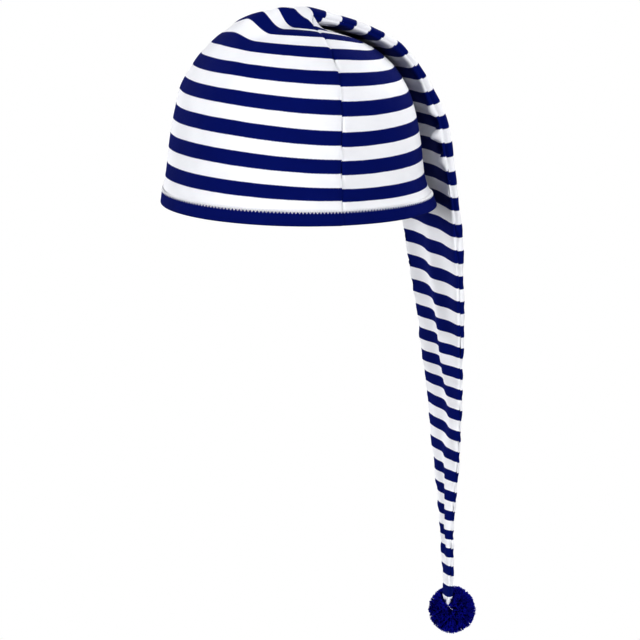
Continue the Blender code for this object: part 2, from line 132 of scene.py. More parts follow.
def named(columns, rows):
    return [dict(zip(columns.split(), row)) for row in rows]


def heightOf(share):  # of the crown above the rim, of the tail below it
    return share * (capCut["crownHeight"] if share >= 0 else capCut["tailDrop"])


def crownSection(row):
    half = capCut["rimLength"] / 2
    section = dict.fromkeys(("droop", "groove", "sway", "twist", "roll"), 0.0)
    section.update(course=row["course"], seam=row["seam"], square=row["square"])
    section.update(frontY=row["frontY"] * half, frontZ=row["frontZ"] * capCut["crownHeight"])
    section.update(backY=row["backY"] * half, backZ=row["backZ"] * capCut["crownHeight"])
    section["side"] = row["side"] * capCut["rimWidth"] / 2
    for name in ("dip", "ridge"):
        section[name] = row[name] * capCut["tailDepth"]
    for name in ("edge", "flank"):
        section[name] = row[name] * capCut["tailWidth"] / 2
    return section


def tailSection(row):
    lean = math.radians(row["lean"])
    depth = row["depth"] * capCut["tailDepth"]
    innerY = row["innerY"] * capCut["rimLength"] / 2
    innerZ = heightOf(row["innerZ"])
    section = dict.fromkeys(("dip", "ridge"), 0.0)
    section.update(course=row["course"], seam=capCut["tailSeam"], square=capCut["tailSquare"])
    section.update(frontY=innerY - depth * math.cos(lean), frontZ=innerZ + depth * math.sin(lean))
    section.update(backY=innerY, backZ=innerZ)
    section.update(twist=math.radians(row["twist"]), roll=math.radians(row["roll"]))
    section["side"] = row["width"] * capCut["tailWidth"] / 2
    section["edge"] = capCut["foldEdge"] * capCut["tailWidth"] / 2
    section["flank"] = capCut["foldFlank"] * capCut["tailWidth"] / 2
    section["sway"] = row["sway"] * capCut["tailWidth"] / 2
    for name in ("droop", "groove"):
        section[name] = row[name] * capCut["tailDepth"]
    return section


sections = [crownSection(row) for row in named(crownColumns, crownRows)]
sections += [tailSection(row) for row in named(tailColumns, tailRows)]
sectionCourses = [section["course"] for section in sections]
folds = named(foldColumns, foldRows)
pleats = named(pleatColumns, pleatRows)


def sectionAt(course):  # a smooth curve through the rows of both tables
    last = len(sections) - 1
    i = min(max(bisect_right(sectionCourses, course) - 1, 0), last - 1)
    span = sectionCourses[i + 1] - sectionCourses[i]
    t = (course - sectionCourses[i]) / span

    def slope(key, at):
        low, high = max(at - 1, 0), min(at + 1, last)
        rise = sections[high][key] - sections[low][key]
        return rise / (sectionCourses[high] - sectionCourses[low])

    blended = {}
    for key in sections[0]:
        blended[key] = (
            (2 * t**3 - 3 * t**2 + 1) * sections[i][key]
            + (t**3 - 2 * t**2 + t) * span * slope(key, i)
            + (3 * t**2 - 2 * t**3) * sections[i + 1][key]
            + (t**3 - t**2) * span * slope(key, i + 1)
        )
    return blended


def smoothStep(value):
    value = np.clip(value, 0.0, 1.0)
    return value * value * (3 - 2 * value)


def unit(vectors):
    return vectors / np.maximum(np.linalg.norm(vectors, axis=-1, keepdims=True), 1e-12)


def ringPoints(section, angles):
    sine, cosine = np.sin(angles), np.cos(angles)
    power = 2 / section["square"]
    across = np.sign(sine) * np.abs(sine) ** power
    along = np.sign(cosine) * np.abs(cosine) ** power
    stepY = section["frontY"] - section["backY"]
    stepZ = section["frontZ"] - section["backZ"]
    length = math.hypot(stepY, stepZ)
    outY, outZ = stepY / length, stepZ / length
    out = along * np.where(along > 0, 1 - section["seam"], section["seam"]) * length
    x = across * (section["side"] - section["groove"] * np.exp(-((out / capCut["seamRoll"]) ** 2)))
    lean = math.sin(section["twist"]) + math.sin(section["roll"]) * (1 + along) / 2
    out = out - section["droop"] * across**2 + x * lean
    # the fold on the crown stands higher on the near side
    pastEdge = (np.abs(x) - section["edge"]) / section["flank"]
    lift = section["ridge"] * (1 + x / section["edge"]) * (1 - smoothStep(pastEdge + 0.5))
    lift = lift * smoothStep(along * 3)
    middleY = section["backY"] + section["seam"] * stepY
    middleZ = section["backZ"] + section["seam"] * stepZ - section["dip"] * across**4
    return np.stack([x + section["sway"], middleY + out * outY, middleZ + out * outZ + lift], axis=1)


# How finely the jersey is made up, and what stitching and wear do to it
jerseyMake = {
    "rowsPerCourse": 12,
    "columns": 92,  # between the two seams
    "ringSteps": 480,  # how finely a ring is measured before it is cut into columns
    "seamColumns": (0.0, 0.0004, 0.0008, 0.0013, 0.0020, 0.0030, 0.0045),  # metres from a seam
    "seamDip": 0.0006,  # how deep the sewn line sits in the crown
    "tailDipShare": 0.5,  # and in the tail, as a share of that
    "seamDipWidth": 0.0011,
    "bandPuff": 0.0002,  # how far the cloth swells out just above the band
    "puffCourses": (1.21, 1.26, 1.75),  # where that starts, is full and has faded
    "puckerHeight": 0.00055,
    "puckerReach": 0.009,  # metres that a pucker runs out from the seam
    "puckersPerCourse": 2.6,
    "slackCrown": 0.00035,  # loose waviness of the stretched crown
    "slackTail": 0.0011,
    "slackSize": 0.030,
    "slackSeamReach": 0.006,  # metres from a seam where the cloth is held tight
    "slackCourses": (9.0, 14.0),  # where crown turns into tail
    "tipTaper": (0.60, 0.10),  # courses over which the tip narrows, and by how much
    "tipRounding": 0.07,  # courses over which it closes
    "coursePitch": 0.0172,  # one blue and one white ring, lying flat
    "backOffset": 0.045,  # courses that the back panel's rings sit below the front's
    "skew": 0.17,  # courses that the hanging tail's rings climb from the near seam to the far one
    "skewCourses": (17.0, 21.0, 33.0, 37.0),  # where that starts, is full, begins to fade and ends
}


def columnPositions(length):  # distances across a panel from its near seam
    near = np.array(jerseyMake["seamColumns"])
    near = near * min(1.0, 0.2 * length / near[-1])
    between = np.linspace(near[-1], length - near[-1], jerseyMake["columns"] + 1)[1:-1]
    return np.concatenate([near, between, length - near[::-1]])


def tipTaper(course):
    length, narrowing = jerseyMake["tipTaper"]
    left = capCut["tipCourse"] - course
    closing = min(max(1 - left / jerseyMake["tipRounding"], 0.0), 1.0)
    return (1 - narrowing * float(smoothStep(1 - left / length))) * math.sqrt(1 - 0.98 * closing**2)


def panelRow(panel, course):
    turn = np.linspace(90, -90, jerseyMake["ringSteps"] + 1) + (0 if panel == "front" else 180)
    section = sectionAt(course)
    taper = tipTaper(course)
    section["side"] *= taper
    middleY = (section["frontY"] + section["backY"]) / 2
    for name in ("frontY", "backY"):
        section[name] = middleY + (section[name] - middleY) * taper
    points = ringPoints(section, np.radians(turn))
    if panel == "back":
        points = points[::-1]
    travelled = np.concatenate([[0.0], np.cumsum(np.linalg.norm(np.diff(points, axis=0), axis=1))])
    length = travelled[-1] - capCut["seamGap"]
    distance = columnPositions(length)
    wanted = distance + capCut["seamGap"] / 2
    row = np.stack([np.interp(wanted, travelled, points[:, axis]) for axis in range(3)], axis=1)
    return row, distance, length


def foldHeight(panel, course, shares):
    total = np.zeros(len(shares))
    for fold in folds:
        if fold["panel"] != panel or not fold["first"] < course < fold["last"]:
            continue
        way = (course - fold["first"]) / (fold["last"] - fold["first"])
        centre = fold["startShare"] + way * (fold["endShare"] - fold["startShare"])
        swell = np.exp(-(((shares - centre) / fold["width"]) ** 2))
        rise = fold["height"] * capCut["tailDepth"] * math.sin(math.pi * way) ** 0.7
        total += rise * swell * np.sin(math.pi * shares) ** 0.5
    for pleat in pleats:
        if pleat["panel"] == panel:
            near = ((course - pleat["course"]) / pleat["courseWidth"]) ** 2
            swell = np.exp(-near - ((shares - pleat["share"]) / pleat["shareWidth"]) ** 2)
            total += pleat["height"] * capCut["tailDepth"] * swell * np.sin(math.pi * shares) ** 0.5
    return total


def closedRows(front, back):
    near = (front[:, :1] + back[:, :1]) / 2
    far = (front[:, -1:] + back[:, -1:]) / 2
    return np.concatenate([near, front[:, 1:-1], far, back[:, -2:0:-1]], axis=1)


def ringNormals(front, back):
    closed = closedRows(front, back)
    across = np.roll(closed, -1, axis=1) - np.roll(closed, 1, axis=1)
    normals = unit(np.cross(np.gradient(closed, axis=0), across))
    columns = front.shape[1]
    wrapped = np.concatenate([normals[:, columns - 1 :], normals[:, :1]], axis=1)
    return normals[:, :columns], wrapped[:, ::-1]


def seamWork(panel, grid, courses, distances, lengths):  # puckers, the sewn line and slack cloth
    rows, columns = grid.shape[:2]
    height = np.zeros((rows, columns))
    side = 3.1 if panel == "front" else 7.7  # shifts the noise, so that the panels differ
    start, full, faded = jerseyMake["puffCourses"]
    crownEnd, tailStart = jerseyMake["slackCourses"]
    held = jerseyMake["slackSeamReach"]
    for i, course in enumerate(courses):
        toNear = distances[i]
        toFar = lengths[i] - distances[i]
        wave = course * jerseyMake["puckersPerCourse"]
        tailShare = float(smoothStep((course - crownEnd) / (tailStart - crownEnd)))
        seamDip = jerseyMake["seamDip"] * (1 - (1 - jerseyMake["tailDipShare"]) * tailShare)
        for reach, seed in ((toNear, 0.0), (toFar, 40.0)):
            pull = noise.noise(Vector((wave, seed + 0.3 * side, 0.5)))
            height[i] += jerseyMake["puckerHeight"] * 2 * pull * np.exp(-reach / jerseyMake["puckerReach"])
            height[i] -= seamDip * np.exp(-((reach / jerseyMake["seamDipWidth"]) ** 2))
        puff = smoothStep((course - start) / (full - start))
        puff *= 1 - smoothStep((course - full) / (faded - full))
        height[i] += jerseyMake["bandPuff"] * puff
        slack = jerseyMake["slackCrown"] * (1 - tailShare) + jerseyMake["slackTail"] * tailShare
        slack *= min(1.0, lengths[i] / 0.05)
        for j in range(columns):
            spot = Vector(grid[i, j]) / jerseyMake["slackSize"]
            soft = noise.noise(spot + Vector((side, 0, 0))) + 0.4 * noise.noise(spot * 2.7)
            height[i, j] += slack * soft * min(1.0, toNear[j] / held, toFar[j] / held)
    return height


def panelFaces(courses):
    faces = {}
    grids, distances, lengths, normals = {}, {}, {}, {}
    for panel in ("front", "back"):
        rows = [panelRow(panel, course) for course in courses]
        grids[panel] = np.array([row[0] for row in rows])
        distances[panel] = np.array([row[1] for row in rows])
        lengths[panel] = np.array([row[2] for row in rows])
    normals["front"], normals["back"] = ringNormals(grids["front"], grids["back"])
    for panel, grid in grids.items():
        shares = distances[panel] / lengths[panel][:, None]
        folded = np.array([foldHeight(panel, course, row) for course, row in zip(courses, shares)])
        sewn = seamWork(panel, grid, courses, distances[panel], lengths[panel])
        grids[panel] = grid + normals[panel] * (folded + sewn)[:, :, None]
    normals["front"], normals["back"] = ringNormals(grids["front"], grids["back"])
    taper = np.array([tipTaper(course) for course in courses])[:, None, None]
    for panel, grid in grids.items():
        inner = grid - normals[panel] * capCut["wall"] * taper
        faces[panel] = (grid, inner, distances[panel], lengths[panel])
    return faces


def newObject(name, mesh, materials=()):
    made = bpy.data.objects.new(name, mesh)
    bpy.context.scene.collection.objects.link(made)
    for material in materials:
        mesh.materials.append(material)
    return made


def gridMesh(name, outer, inner, uvs, flip):  # a wall with two faces, closed along its edges
    rows, columns = outer.shape[:2]
    layer = rows * columns
    faces = []
    for i in range(rows - 1):
        for a in range(i * columns, (i + 1) * columns - 1):
            face = (a, a + 1, a + 1 + columns, a + columns)
            faces += [face, tuple(index + layer for index in reversed(face))]
        for a in (i * columns, (i + 1) * columns - 1):
            edge = (a, a + columns, a + columns + layer, a + layer)
            faces.append(edge if a % columns == 0 else edge[::-1])
    for j in range(columns - 1):
        for start in (0, (rows - 1) * columns):
            a = start + j
            edge = (a, a + layer, a + 1 + layer, a + 1)
            faces.append(edge if start == 0 else edge[::-1])
    if flip:
        faces = [face[::-1] for face in faces]
    points = np.concatenate([outer.reshape(-1, 3), inner.reshape(-1, 3)])
    mesh = bpy.data.meshes.new(name)
    mesh.from_pydata(points.tolist(), [], faces)
    flat = np.concatenate([uvs.reshape(-1, 2)] * 2)
    corners = np.empty(len(mesh.loops), np.int32)
    mesh.loops.foreach_get("vertex_index", corners)
    layerUv = mesh.uv_layers.new(name="cloth")
    layerUv.data.foreach_set("uv", flat[corners].astype(np.float32).ravel())
    mesh.shade_smooth()
    mesh.set_sharp_from_angle(angle=math.radians(55))
    return mesh


# Nodes: one call adds a node, sets it and wires its inputs
def addNode(tree, kind, inputs=None, **settings):
    node = tree.nodes.new(kind)
    for key, value in settings.items():
        setattr(node, key, value)
    for key, value in (inputs or {}).items():
        if isinstance(value, bpy.types.NodeSocket):
            tree.links.new(value, node.inputs[key])
        else:
            node.inputs[key].default_value = value
    return node


def maths(tree, operation, a, b=0.0, c=0.0):
    return addNode(tree, "ShaderNodeMath", {0: a, 1: b, 2: c}, operation=operation).outputs[0]


def newGroup(name, kind, inputs, outputs):
    group = bpy.data.node_groups.new(name, kind)
    for label, socket, value in inputs:
        made = group.interface.new_socket(label, in_out="INPUT", socket_type=socket)
        if value is not None:
            made.default_value = value
    for label, socket in outputs:
        group.interface.new_socket(label, in_out="OUTPUT", socket_type=socket)
    return group, group.nodes.new("NodeGroupInput").outputs, group.nodes.new("NodeGroupOutput").inputs


def knitGroup():  # the V-shaped loops of plain jersey, in UV: metres across, courses along
    group, given, out = newGroup(
        "knitLoops",
        "ShaderNodeTree",
        [
            ("Cloth UV", "NodeSocketVector", None),
            ("Wale Width", "NodeSocketFloat", 0.0009),
            ("Rows per Course", "NodeSocketFloat", 22.0),
        ],
        [("Height", "NodeSocketFloat"), ("Step", "NodeSocketFloat")],
    )
    parts = addNode(group, "ShaderNodeSeparateXYZ", {0: given["Cloth UV"]}).outputs
    wale = maths(group, "FRACT", maths(group, "DIVIDE", parts[0], given["Wale Width"]))
    half = maths(group, "ABSOLUTE", maths(group, "SUBTRACT", wale, 0.5))
    leg = maths(group, "MULTIPLY", maths(group, "ABSOLUTE", maths(group, "SUBTRACT", half, 0.25)), 4.0)
    leg = maths(group, "SUBTRACT", 1.0, maths(group, "POWER", leg, 2.0))
    row = maths(group, "MULTIPLY", parts[1], given["Rows per Course"])
    row = maths(group, "MULTIPLY", maths(group, "ADD", row, maths(group, "MULTIPLY", half, 1.3)), math.tau)
    swell = maths(group, "MULTIPLY_ADD", maths(group, "COSINE", row), 0.35, 0.65)
    group.links.new(maths(group, "MULTIPLY", leg, swell), out["Height"])
    group.links.new(maths(group, "SUBTRACT", half, 0.25), out["Step"])
    return group


def fibreGroup():  # fine fluff and cloudy tone, in metres
    group, given, out = newGroup(
        "fibreFluff",
        "ShaderNodeTree",
        [
            ("Vector", "NodeSocketVector", None),
            ("Fluff Scale", "NodeSocketFloat", 2600.0),
            ("Cloud Scale", "NodeSocketFloat", 55.0),
        ],
        [("Fluff", "NodeSocketFloat"), ("Cloud", "NodeSocketFloat")],
    )
    for label, scale, detail in (("Fluff", "Fluff Scale", 4.0), ("Cloud", "Cloud Scale", 3.0)):
        cloud = addNode(
            group,
            "ShaderNodeTexNoise",
            {"Vector": given["Vector"], "Scale": given[scale], "Detail": detail, "Roughness": 0.6},
        )
        group.links.new(cloud.outputs["Fac"], out[label])
    return group


def mixColour(tree, factor, a, b, blend="MIX"):
    inputs = {0: factor, 6: a, 7: b}
    return addNode(tree, "ShaderNodeMix", inputs, data_type="RGBA", blend_type=blend).outputs[2]


def newMaterial(name, roughness, sheen):
    material = bpy.data.materials.new(name)
    material.use_nodes = True
    tree = material.node_tree
    shader = tree.nodes["Principled BSDF"]
    shader.inputs["Roughness"].default_value = roughness
    shader.inputs["Specular IOR Level"].default_value = 0.05
    shader.inputs["Sheen Weight"].default_value = sheen
    shader.inputs["Sheen Roughness"].default_value = 0.45
    return material, tree, shader


dyes = {
    "white": (0.86, 0.865, 0.885, 1.0),
    "whiteShade": (0.78, 0.785, 0.82, 1.0),
    "blue": (0.0006, 0.0058, 0.112, 1.0),
    "blueLight": (0.0012, 0.0088, 0.142, 1.0),
    "thread": (0.88, 0.88, 0.88, 1.0),
    "yarn": (0.0008, 0.0014, 0.130, 1.0),
    "yarnLight": (0.0070, 0.0100, 0.420, 1.0),
}

knitLoops = knitGroup()
fibreFluff = fibreGroup()


def fluffOf(tree, fluffScale, cloudScale):
    place = addNode(tree, "ShaderNodeTexCoord").outputs["Object"]
    inputs = {"Vector": place, "Fluff Scale": fluffScale, "Cloud Scale": cloudScale}
    return addNode(tree, "ShaderNodeGroup", inputs, node_tree=fibreFluff).outputs


def addBump(tree, shader, height, strength, distance):
    inputs = {"Height": height, "Strength": strength, "Distance": distance}
    tree.links.new(addNode(tree, "ShaderNodeBump", inputs).outputs[0], shader.inputs["Normal"])


jerseyLook = {
    "waleWidth": 0.0009,  # metres across one column of loops
    "rowsPerCourse": 22.0,
    "fluffScale": 1800.0,
    "cloudScale": 60.0,
    "ringWander": 0.03,  # courses that the edge of a ring wanders with the cloth's tone
    "loopStep": 0.045,  # courses that it steps from one side of a loop to the other
    "ringEdge": (0.243, 0.257),  # courses from the middle of a white ring where it turns blue
    "valleyShade": 0.10,  # how much darker it is between the loops
    "bumpStrength": 0.55,
    "bumpDistance": 0.00022,
    "roughness": (0.80, 0.12),  # the least, and what the fluff adds
}


def jerseyMaterial(name, striped):
    material, tree, shader = newMaterial(name, 0.86, 0.015)
    uv = addNode(tree, "ShaderNodeUVMap", uv_map="cloth").outputs[0]
    inputs = {
        "Cloth UV": uv,
        "Wale Width": jerseyLook["waleWidth"],
        "Rows per Course": jerseyLook["rowsPerCourse"],
    }
    loops = addNode(tree, "ShaderNodeGroup", inputs, node_tree=knitLoops).outputs
    fluff = fluffOf(tree, jerseyLook["fluffScale"], jerseyLook["cloudScale"])
    colour = mixColour(tree, fluff["Cloud"], dyes["blue"], dyes["blueLight"])
    if striped:
        along = addNode(tree, "ShaderNodeSeparateXYZ", {0: uv}).outputs[1]
        cloud = maths(tree, "SUBTRACT", fluff["Cloud"], 0.5)
        wander = maths(tree, "MULTIPLY", cloud, jerseyLook["ringWander"])
        stepped = maths(tree, "MULTIPLY", loops["Step"], jerseyLook["loopStep"])
        ring = maths(tree, "ADD", maths(tree, "ADD", along, wander), stepped)
        # blue where a course number is whole, white half way between, a few fibres crossing over
        fromMiddle = maths(tree, "ABSOLUTE", maths(tree, "SUBTRACT", maths(tree, "FRACT", ring), 0.5))
        turnsBlue, isBlue = jerseyLook["ringEdge"]
        inputs = {"Value": fromMiddle, "From Min": turnsBlue, "From Max": isBlue}
        edge = addNode(tree, "ShaderNodeMapRange", inputs).outputs[0]
        white = mixColour(tree, fluff["Cloud"], dyes["white"], dyes["whiteShade"])
        colour = mixColour(tree, edge, white, colour)
    # painted shade: the colour is made darker between the loops of the knit, where shade falls
    valley = maths(tree, "SUBTRACT", 1.0, loops["Height"])
    valley = maths(tree, "MULTIPLY", valley, jerseyLook["valleyShade"])
    paintedLoopShade = mixColour(tree, valley, (1, 1, 1, 1), (0.35, 0.35, 0.42, 1))
    tree.links.new(mixColour(tree, 1.0, colour, paintedLoopShade, "MULTIPLY"), shader.inputs["Base Color"])
    relief = maths(tree, "ADD", loops["Height"], maths(tree, "MULTIPLY", fluff["Fluff"], 0.5))
    addBump(tree, shader, relief, jerseyLook["bumpStrength"], jerseyLook["bumpDistance"])
    least, added = jerseyLook["roughness"]
    tree.links.new(maths(tree, "MULTIPLY_ADD", fluff["Fluff"], added, least), shader.inputs["Roughness"])
    return material


stripedJersey = jerseyMaterial("stripedJersey", True)
bandJersey = jerseyMaterial("bandJersey", False)
print("cloth dyed and knitted")

# The two panels
courseCount = round((capCut["tipCourse"] - capCut["firstCourse"]) * jerseyMake["rowsPerCourse"])
courses = np.linspace(capCut["firstCourse"], capCut["tipCourse"], courseCount + 1)
faces = panelFaces(courses)


def panelUvs(panel):
    distance, length = faces[panel][2:]
    across = distance - length[:, None] / 2
    offset = jerseyMake["backOffset"] if panel == "back" else 0.0
    offset = offset * smoothStep((capCut["tipCourse"] - courses) / 2)
    start, full, fading, ended = jerseyMake["skewCourses"]
    skew = smoothStep((courses - start) / (full - start))
    skew = jerseyMake["skew"] * skew * smoothStep((ended - courses) / (ended - fading))
    along = (courses + offset)[:, None] + skew[:, None] * distance / length[:, None]
    return np.stack([across, along], axis=-1)


panels = {}
for panel in ("front", "back"):
    mesh = gridMesh(panel + "Jersey", faces[panel][0], faces[panel][1], panelUvs(panel), panel == "front")
    panels[panel] = newObject(panel + "Jersey", mesh, [stripedJersey])
print("panels sewn up")

# The band that binds the rim
rimBandMake = {
    "height": 0.0088,
    "cloth": 0.0008,
    "gap": 0.00012,
    "turns": 9,  # points round the fold at the rim
    "clothRows": 14,  # rows of the panels, up from the rim, that it is laid on
}


def bandOutline():
    cloth, gap, wall = rimBandMake["cloth"], rimBandMake["gap"], capCut["wall"]
    top = rimBandMake["height"]
    inside = -wall - gap
    reach = wall / 2 + gap + cloth
    fold = []
    for turn in np.linspace(0, math.pi, rimBandMake["turns"]):
        fold.append((-gap - cloth * math.sin(turn), -wall / 2 + reach * math.cos(turn)))
    soft = cloth * 0.3
    outerSide = [(top - soft, gap), (top, gap + soft), (top, gap + cloth - soft), (top - soft, gap + cloth)]
    outerSide += [(top * share, gap + cloth) for share in (0.72, 0.45, 0.2)]
    innerSide = [(top * share, inside - cloth) for share in (0.2, 0.45, 0.72)]
    innerSide += [(top - soft, inside - cloth), (top, inside - cloth + soft), (top, inside - soft)]
    return outerSide + fold + innerSide + [(top - soft, inside), (-gap, inside), (-gap, gap)]


def bandPlace(rise, reach):  # a closed line of points at a height and a distance from the cloth
    rows = rimBandMake["clothRows"]
    outer = closedRows(faces["front"][0][:rows], faces["back"][0][:rows])
    wall = unit(outer - closedRows(faces["front"][1][:rows], faces["back"][1][:rows]))
    steps = np.linalg.norm(np.diff(outer, axis=0), axis=2)
    risen = np.concatenate([np.zeros((1, outer.shape[1])), np.cumsum(steps, axis=0)])
    points, outs = [], []
    for i in range(outer.shape[1]):
        if rise < 0:
            up = unit(outer[1, i] - outer[0, i])
            place, out = outer[0, i] + up * rise, wall[0, i]
        else:
            place = [np.interp(rise, risen[:, i], outer[:, i, axis]) for axis in range(3)]
            out = unit(np.array([np.interp(rise, risen[:, i], wall[:, i, axis]) for axis in range(3)]))
        points.append(np.array(place) + out * reach)
        outs.append(out)
    return np.array(points), np.array(outs)


def roundSmooth(values, passes=3):  # takes the sewn dips out of a closed line
    for _ in range(passes):
        values = (np.roll(values, 1, axis=0) + values * 2 + np.roll(values, -1, axis=0)) / 4
    return values


def faceOutwards(mesh):
    work = bmesh.new()
    work.from_mesh(mesh)
    bmesh.ops.recalc_face_normals(work, faces=work.faces)
    work.to_mesh(mesh)
    work.free()


def makeRimBand():
    outline = bandOutline()
    rings = [roundSmooth(bandPlace(rise, reach)[0]) for rise, reach in outline]
    count, around = len(rings), len(rings[0])
    travelled = np.concatenate([[0.0], np.cumsum(np.linalg.norm(np.diff(rings[0], axis=0), axis=1))])
    mesh = bpy.data.meshes.new("rimBand")
    quads = []
    for i in range(count):
        for j in range(around):
            k, n = (i + 1) % count, (j + 1) % around
            quads.append((i * around + j, i * around + n, k * around + n, k * around + j))
    mesh.from_pydata(np.concatenate(rings).tolist(), [], quads)
    uvs = mesh.uv_layers.new(name="cloth")
    unrolled = np.cumsum([0.0] + [math.dist(outline[i], outline[i - 1]) for i in range(1, count)])
    for polygon in mesh.polygons:
        for loop, vertex in zip(polygon.loop_indices, polygon.vertices):
            i, j = divmod(vertex, around)
            uvs.data[loop].uv = (travelled[j], unrolled[i] / jerseyMake["coursePitch"])
    faceOutwards(mesh)
    mesh.shade_smooth()
    return newObject("rimBand", mesh, [bandJersey])


rimBand = makeRimBand()
print("rim bound")


# Geometry Nodes helpers
def growNodes(made, tree, values):
    modifier = made.modifiers.new(tree.name, "NODES")
    modifier.node_group = tree
    for item in tree.interface.items_tree:
        if item.item_type == "SOCKET" and item.in_out == "INPUT" and item.name in values:
            modifier[item.identifier] = values[item.name]
    ready = made.evaluated_get(bpy.context.evaluated_depsgraph_get())
    mesh = bpy.data.meshes.new_from_object(ready)
    made.modifiers.clear()
    made.data = mesh
    return made


def tubeAlong(tree, line, sides, radius):
    circle = {"Resolution": sides, "Radius": radius}
    profile = addNode(tree, "GeometryNodeCurvePrimitiveCircle", circle).outputs[0]
    inputs = {"Curve": line, "Profile Curve": profile, "Fill Caps": True}
    return addNode(tree, "GeometryNodeCurveToMesh", inputs).outputs[0]


def finishTree(tree, shape, material, out):
    real = addNode(tree, "GeometryNodeRealizeInstances", {"Geometry": shape}).outputs[0]
    smooth = addNode(tree, "GeometryNodeSetShadeSmooth", {"Geometry": real}).outputs[0]
    done = addNode(tree, "GeometryNodeSetMaterial", {"Geometry": smooth, "Material": material}).outputs[0]
    tree.links.new(done, out["Geometry"])


def zigzagTree():  # a thread that zigzags along a line, dipping into the cloth at each needle hole
    tree, given, out = newGroup(
        "zigzagThread",
        "GeometryNodeTree",
        [
            ("Line", "NodeSocketGeometry", None),
            ("Pitch", "NodeSocketFloat", 0.0019),
            ("Height", "NodeSocketFloat", 0.0016),
            ("Thread Radius", "NodeSocketFloat", 0.0002),
            ("Lift", "NodeSocketFloat", 0.00025),
            ("Thread", "NodeSocketMaterial", None),
        ],
        [("Geometry", "NodeSocketGeometry")],
    )
    line = addNode(tree, "GeometryNodeMeshToCurve", {"Mesh": given["Line"]}).outputs[0]
    length = addNode(tree, "GeometryNodeCurveLength", {"Curve": line}).outputs[0]
    stitches = maths(tree, "ROUND", maths(tree, "DIVIDE", length, given["Pitch"]))
    count = maths(tree, "MULTIPLY", stitches, 4.0)
    line = addNode(tree, "GeometryNodeResampleCurve", {"Curve": line, "Count": count}).outputs[0]
    index = addNode(tree, "GeometryNodeInputIndex").outputs[0]
    phase = maths(tree, "MULTIPLY", index, math.pi / 2)
    up = addNode(tree, "GeometryNodeInputNamedAttribute", {"Name": "up"}, data_type="FLOAT_VECTOR")
    away = addNode(tree, "GeometryNodeInputNamedAttribute", {"Name": "away"}, data_type="FLOAT_VECTOR")
    half = maths(tree, "MULTIPLY", given["Height"], 0.5)
    climb = maths(tree, "MULTIPLY", maths(tree, "COSINE", phase), half)
    twice = maths(tree, "COSINE", maths(tree, "MULTIPLY", phase, 2.0))
    rise = maths(tree, "MULTIPLY", twice, maths(tree, "MULTIPLY", given["Lift"], -1.0))
    moves = []
    for way, amount in ((up, climb), (away, rise)):
        inputs = {0: way.outputs[0], "Scale": amount}
        moves.append(addNode(tree, "ShaderNodeVectorMath", inputs, operation="SCALE").outputs[0])
    offset = addNode(tree, "ShaderNodeVectorMath", {0: moves[0], 1: moves[1]}, operation="ADD").outputs[0]
    line = addNode(tree, "GeometryNodeSetPosition", {"Geometry": line, "Offset": offset}).outputs[0]
    finishTree(tree, tubeAlong(tree, line, 6, given["Thread Radius"]), given["Thread"], out)
    return tree


def threadMaterial():
    material, tree, shader = newMaterial("whiteThread", 0.55, 0.2)
    fluff = fluffOf(tree, 5000.0, 300.0)
    tone = mixColour(tree, fluff["Cloud"], dyes["thread"], dyes["whiteShade"])
    tree.links.new(tone, shader.inputs["Base Color"])
    addBump(tree, shader, fluff["Fluff"], 0.6, 0.0001)
    return material


whiteThread = threadMaterial()
zigzagThread = zigzagTree()


def stitchLine(name, points, ups, outs, closed, values):
    mesh = bpy.data.meshes.new(name)
    edges = [(i, i + 1) for i in range(len(points) - 1)]
    if closed:
        edges.append((len(points) - 1, 0))
    mesh.from_pydata(points.tolist(), edges, [])
    for label, vectors in (("up", ups), ("away", outs)):
        attribute = mesh.attributes.new(label, "FLOAT_VECTOR", "POINT")
        attribute.data.foreach_set("vector", np.asarray(vectors, np.float32).ravel())
    return growNodes(newObject(name, mesh), zigzagThread, {**values, "Thread": whiteThread})


# The white zigzag round the band's top edge: it leans in, so that its upper points lie on the panels
rimStitchMake = {
    "thread": {"Pitch": 0.0024, "Height": 0.0024, "Thread Radius": 0.00030, "Lift": 0.00020},
    "above": 0.0001,  # above the band's edge
    "sunk": 0.0002,  # into the band's cloth
    "leanAbove": 0.004,  # it leans towards a line this far above the edge
    "leanIn": 0.0009,  # and this far inside the band
}


def makeRimStitches():
    top, gap = rimBandMake["height"], rimBandMake["gap"]
    reach = gap + rimBandMake["cloth"] - rimStitchMake["sunk"]
    line, outs = bandPlace(top + rimStitchMake["above"], reach)
    leanTo, _ = bandPlace(top + rimStitchMake["leanAbove"], gap - rimStitchMake["leanIn"])
    line = roundSmooth(line)
    return stitchLine("rimStitches", line, unit(leanTo - line), outs, True, rimStitchMake["thread"])


rimStitches = makeRimStitches()
print("rim stitched")

# The pompom: tufts of cut yarn on a ball
pompomMake = {
    "radius": 0.0174,
    "ballRadius": 0.0118,
    "tufts": {
        "Tuft Spacing": 0.00132,
        "Tuft Density": 900000.0,  # to a square metre, before the spacing thins them
        "Strands per Tuft": 8,
        "Tuft Radius": 0.0005,
        "Strand Length": 0.0055,
        "Strand Radius": 0.00024,
        "Lean": 0.20,  # how far tufts tilt at random, radians
        "Seed": 8,
    },
    "fromTip": (-0.18, 0.31, -0.31),  # the centre, from the tip of the tail, in radii
    "clearOfTail": 0.0054,  # how far tufts keep from the middle of the tail
    "clearAtTip": 0.78,  # share of that at the very tip
    "clearCourses": (0.08, 2.2),  # how far up the tail, from where to where
    "tailSide": (0.8, -0.45, 0.55),  # the side of the ball where the tip of the tail lies open
    "threadEnds": ((0.640, -0.520, 0.482), (0.810, -0.374, 0.321)),  # from the centre, in radii
}


def tailMiddle(course):
    return ringPoints(sectionAt(course), np.radians([0.0, 90.0, 180.0, 270.0])).mean(axis=0)


tipPlace = tailMiddle(capCut["tipCourse"])
pompomCentre = Vector(tipPlace + pompomMake["radius"] * np.array(pompomMake["fromTip"]))


